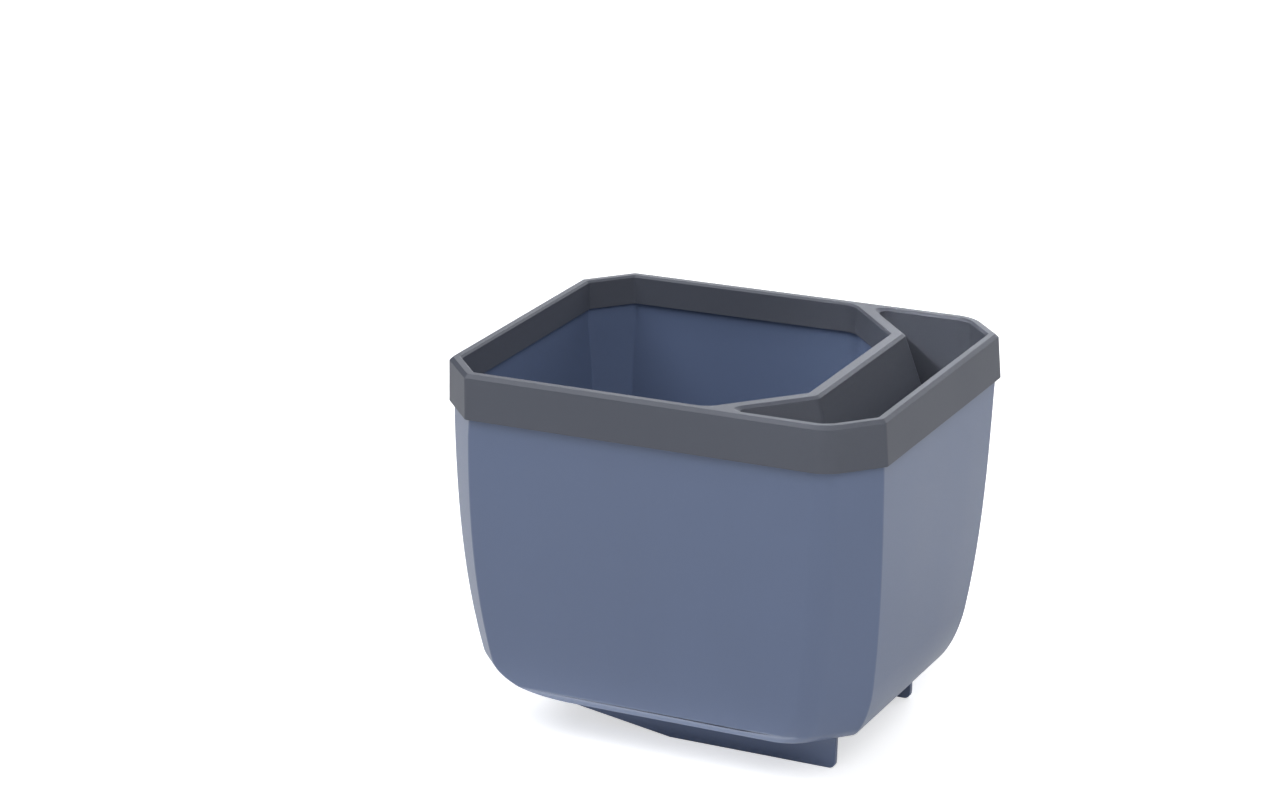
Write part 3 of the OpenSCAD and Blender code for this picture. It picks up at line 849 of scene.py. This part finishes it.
def build_mat(form):
    """The felt mat: a cut plate with a bay for the wick, rounded edges and a lumpy, needled surface."""
    p = form.p
    lump_room, cells = 0.0002, 84
    z = form.floor_z + p.soft_gap
    x0 = form.x0(z, p.pot_wall, form.floor_z) + p.soft_gap
    y = form.y(z, p.pot_wall, form.floor_z) - p.soft_gap
    x1 = form.open_front - p.soft_gap
    leg = x1 + y - (form.open_sum - p.soft_gap * DIAGONAL)
    plan = cut_plan(x0 + lump_room, x1 - lump_room, y - lump_room, p.low_leg_plant, leg)
    mat = stack("felt_mat", [(plan, z + lump_room / 2), (plan, z + p.mat_thickness - lump_room / 2)])
    half = p.wick_width / 2 + p.soft_gap + lump_room
    bay_x = form.open_front - p.wick_reach - p.soft_gap - lump_room
    bay_top = z + p.mat_thickness + CLEAR
    cut(mat, block("wick_bay", (bay_x, -half, z - CLEAR), (form.open_front + CLEAR, half, bay_top)))
    soften_edges(mat, width=0.0007)
    start_edit(mat)
    for x, across in zip(between(x0, x1, cells)[1:], between(-y, y, cells)[1:]):
        slice_through((x, 0, 0), (1, 0, 0))
        slice_through((0, across, 0), (0, 1, 0))
    end_edit()
    roughen(mat, strength=0.0003, size=0.004)
    return mat


def wick_route(form, lump_room):
    """The wick's middle line in x and z: down from the tank, through the notch and along the floor."""
    p = form.p
    end_room, bend_reach, bend_steps, step = 0.0004, 0.004, 8, 0.0012
    slope_out, slope_up = 1.25 * p.wick_thickness, 2.2 * p.wick_thickness
    x = form.wick_x()
    low = form.floor_z + p.soft_gap + p.wick_thickness / 2
    slope_x = form.open_front + form.parting + p.pot_wall + slope_out
    top_z = form.tank_z + p.wick_rise - lump_room
    end_x = form.open_front - p.wick_reach + end_room
    corners = [Vector(place) for place in ((x, top_z), (x, low + slope_up), (slope_x, low), (end_x, low))]
    path = [corners[0]]
    for before, corner, after in zip(corners, corners[1:], corners[2:]):
        start = corner + (before - corner).normalized() * bend_reach
        finish = corner + (after - corner).normalized() * bend_reach
        path += [Vector(place) for place in bend(start, corner, finish, bend_steps)]
    path.append(corners[-1])
    route = [path[0]]
    for a, b in zip(path, path[1:]):
        steps = max(1, round((b - a).length / step))
        route += [a.lerp(b, k / steps) for k in range(1, steps + 1)]
    return route


def build_wick(form):
    """The wick: a strip led along its route, then given its thickness and its lumps."""
    p = form.p
    lump_room, squeeze, cells, strip = 0.0003, 0.0005, 16, 0.001
    route = wick_route(form, lump_room)
    width = p.wick_width - 2 * lump_room
    deselect()
    bpy.ops.mesh.primitive_plane_add(size=1, location=(0, 0, 0))
    wick = bpy.context.active_object
    wick.name = wick.data.name = "wick"
    wick.scale = (strip, width, 1)
    settle(wick)
    start_edit(wick)
    pick(wick, "VERT", lambda v: v.co.x > 0)
    bpy.ops.transform.translate(value=(route[1].x - strip / 2, 0, route[1].y))
    pick(wick, "VERT", lambda v: v.co.z < strip)
    bpy.ops.transform.translate(value=(route[0].x + strip / 2, 0, route[0].y))
    pick(wick, "VERT", lambda v: v.co.z < route[0].y - NEAR)
    for a, b in zip(route[1:], route[2:]):
        bpy.ops.mesh.extrude_region_move(TRANSFORM_OT_translate={"value": (b.x - a.x, 0, b.y - a.y)})
    for across in between(-width / 2, width / 2, cells)[1:]:
        slice_through((0, across, 0), (0, 1, 0))
    end_edit()
    apply(wick, "SOLIDIFY", thickness=p.wick_thickness - squeeze, offset=0, use_even_offset=True)
    soften_edges(wick, width=0.0006)
    start_edit(wick)
    face_outwards()
    end_edit()
    roughen(wick, strength=0.0003, size=0.003)
    return wick


class PieceOperator:
    """What every operator here shares."""

    bl_options = {"REGISTER", "UNDO"}

    def parts(self, context):
        scene = context.scene
        return Form(scene.planter_shape), scene.planter_finish


class HERB_OT_pot(PieceOperator, Operator):
    """Build the pot with its partition and runners"""

    bl_idname = "herb_planter.pot"
    bl_label = "Pot"

    def execute(self, context):
        form, finish = self.parts(context)
        material = plastic("Pot plastic", finish.pot, sheen_level=0.34, specular=0.5)
        dress(build_pot(form), material, "pot", "pot_plastic", "pot_body")
        return {"FINISHED"}


class HERB_OT_collar(PieceOperator, Operator):
    """Build the collar with its water tank"""

    bl_idname = "herb_planter.collar"
    bl_label = "Collar and tank"

    def execute(self, context):
        form, finish = self.parts(context)
        material = plastic("Collar plastic", finish.collar, sheen_level=0.5, specular=0.38)
        dress(build_collar(form), material, "collar", "collar_plastic", "collar_tank")
        return {"FINISHED"}


class HERB_OT_mat(PieceOperator, Operator):
    """Build the felt mat on the pot's floor"""

    bl_idname = "herb_planter.mat"
    bl_label = "Felt mat"

    def execute(self, context):
        form, finish = self.parts(context)
        material = felt("Mat felt", finish.mat, fibre_size=900.0, contrast=0.55)
        dress(build_mat(form), material, "mat", "mat_felt", "felt_mat")
        return {"FINISHED"}


class HERB_OT_wick(PieceOperator, Operator):
    """Build the wick that leads water from the tank to the mat"""

    bl_idname = "herb_planter.wick"
    bl_label = "Wick"

    def execute(self, context):
        form, finish = self.parts(context)
        material = felt("Wick felt", finish.wick, fibre_size=1200.0, contrast=0.35)
        dress(build_wick(form), material, "pot", "wick_felt", "wick")
        return {"FINISHED"}


def stage_material(tint):
    """Pale floor that shows white to the camera and keeps a faint shadow."""
    glow_seen, glow_for_camera = 0.3, 0.3
    material = bpy.data.materials.new("Pale floor")
    n = new_nodes(material)
    rays = n.add("ShaderNodeLightPath").outputs
    camera_ray = rays["Is Camera Ray"]
    mirrored = n.maths("MAXIMUM", rays["Is Glossy Ray"], rays["Is Transmission Ray"])
    seen = n.maths("MAXIMUM", camera_ray, mirrored)
    strength = n.maths(
        "ADD", n.maths("MULTIPLY", camera_ray, glow_for_camera), n.maths("MULTIPLY", seen, glow_seen))
    glow = n.add("ShaderNodeEmission", {"Color": (1, 1, 1, 1), "Strength": strength})
    matt = n.add("ShaderNodeBsdfDiffuse", {"Color": (*tint, 1)})
    both = n.add("ShaderNodeAddShader", {0: matt.outputs[0], 1: glow.outputs[0]})
    n.add("ShaderNodeOutputMaterial", {"Surface": both.outputs[0]})
    return material


def light_world(strength):
    """Soft light from all round, with a white background behind the floor."""
    world = bpy.data.worlds.new("Studio")
    n = new_nodes(world)
    rays = n.add("ShaderNodeLightPath").outputs
    seen = n.add("ShaderNodeBackground", {"Color": (1, 1, 1, 1), "Strength": 1.0})
    soft = n.add("ShaderNodeBackground", {"Color": (1, 1, 1, 1), "Strength": strength})
    mixed = n.add("ShaderNodeMixShader", {0: rays["Is Camera Ray"], 1: soft.outputs[0], 2: seen.outputs[0]})
    n.add("ShaderNodeOutputWorld", {"Surface": mixed.outputs[0]})
    bpy.context.scene.world = world


def area_lamp(name, place, way, size, power):
    """A square lamp at a place, shining the given way, that the camera doesn't see."""
    deselect()
    bpy.ops.object.light_add(type="AREA", location=place)
    lamp = bpy.context.active_object
    lamp.name = name
    lamp.data.size = size
    lamp.data.energy = power
    lamp.rotation_euler = way.to_track_quat("-Z", "Y").to_euler()
    lamp.visible_camera = False
    return lamp.data


def softbox(name, turn, rise, power, tint):
    """A large lamp that looks at the planter from a bearing (degrees from +X) and a height (degrees)."""
    middle, distance, size = Vector((0, 0, 0.08)), 1.6, 1.0
    turn, rise = math.radians(turn), math.radians(rise)
    away = Vector((math.cos(turn) * math.cos(rise), math.sin(turn) * math.cos(rise), math.sin(rise)))
    lamp = area_lamp(name, middle + away * distance, -away, size, power)
    lamp.color = tint


def light_stage():
    """Five softboxes, a faint strip under the near side and a faint spot into the tank's mouth."""
    white, cool = (1, 1, 1), (0.94, 0.96, 1)
    light_world(0.08)
    softbox("far_side", 68, 28, 7.5, cool)
    softbox("back_left", 108, 16, 11, cool)
    softbox("front_left", 214, 54, 16, cool)
    softbox("camera_side", 300, 35, 5.5, white)
    softbox("front_right", 330, 50, 8, white)

    strip = area_lamp("low_fill", (-0.02, -0.064, 0.002), Vector((0, 0, 1)), size=0.15, power=0.01)
    strip.shape = "RECTANGLE"
    strip.size_y = 0.012

    mouth, place = Vector((0.074, 0.05, 0.138)), Vector((0, -0.38, 0.5))
    spot = area_lamp("mouth_fill", place, mouth - place, size=0.06, power=0.018)
    spot.spread = math.radians(16)


def place_camera():
    """The photo's camera: place in metres, turn in degrees about X, Y and Z."""
    place, turn = (0.611887, -1.203625, 0.610007), (70.4724, 1.7336, 27.8261)
    camera = bpy.data.cameras.new("photo_camera")
    camera.sensor_fit = "HORIZONTAL"
    camera.sensor_width = 36
    camera.lens = 104.116
    obj = bpy.data.objects.new("photo_camera", camera)
    bpy.context.scene.collection.objects.link(obj)
    turned = Euler([math.radians(degrees) for degrees in turn]).to_matrix().to_4x4()
    obj.matrix_world = Matrix.Translation(place) @ turned
    bpy.context.scene.camera = obj


class HERB_OT_stage(PieceOperator, Operator):
    """Build the floor, the lights and the camera"""

    bl_idname = "herb_planter.stage"
    bl_label = "Stage"

    def execute(self, context):
        deselect()
        bpy.ops.mesh.primitive_plane_add(size=8, location=(0, 0, 0))
        floor = context.active_object
        floor.name = "floor"
        settle(floor)
        floor.data.materials.append(stage_material(context.scene.planter_finish.floor))
        light_stage()
        place_camera()
        context.scene.view_settings.view_transform = "Standard"
        return {"FINISHED"}


class HERB_PT_planter(Panel):
    """Lists the pieces in the sidebar"""

    bl_idname = "HERB_PT_planter"
    bl_label = "Herb Planter"
    bl_space_type = "VIEW_3D"
    bl_region_type = "UI"
    bl_category = "Herb Planter"

    def draw(self, context):
        scene = context.scene
        column = self.layout.column(align=True)
        for operator in BUILD_ORDER:
            column.operator(operator.bl_idname)
        for name in ("pot", "collar", "mat", "wick", "floor"):
            self.layout.prop(scene.planter_finish, name)
        for name in ("rim_length", "rim_width", "corner_leg", "opening_length", "skirt_height"):
            self.layout.prop(scene.planter_shape, name)


BUILD_ORDER = (HERB_OT_pot, HERB_OT_collar, HERB_OT_mat, HERB_OT_wick, HERB_OT_stage)
CLASSES = (PlanterShape, PlanterFinish, *BUILD_ORDER, HERB_PT_planter)


def register():
    for each in CLASSES:
        bpy.utils.register_class(each)
    bpy.types.Scene.planter_shape = PointerProperty(type=PlanterShape)
    bpy.types.Scene.planter_finish = PointerProperty(type=PlanterFinish)


def unregister():
    del bpy.types.Scene.planter_finish
    del bpy.types.Scene.planter_shape
    for each in reversed(CLASSES):
        bpy.utils.unregister_class(each)


def main():
    register()
    bpy.ops.herb_planter.pot()
    bpy.ops.herb_planter.collar()
    bpy.ops.herb_planter.mat()
    bpy.ops.herb_planter.wick()
    bpy.ops.herb_planter.stage()


if __name__ == "__main__":
    main()
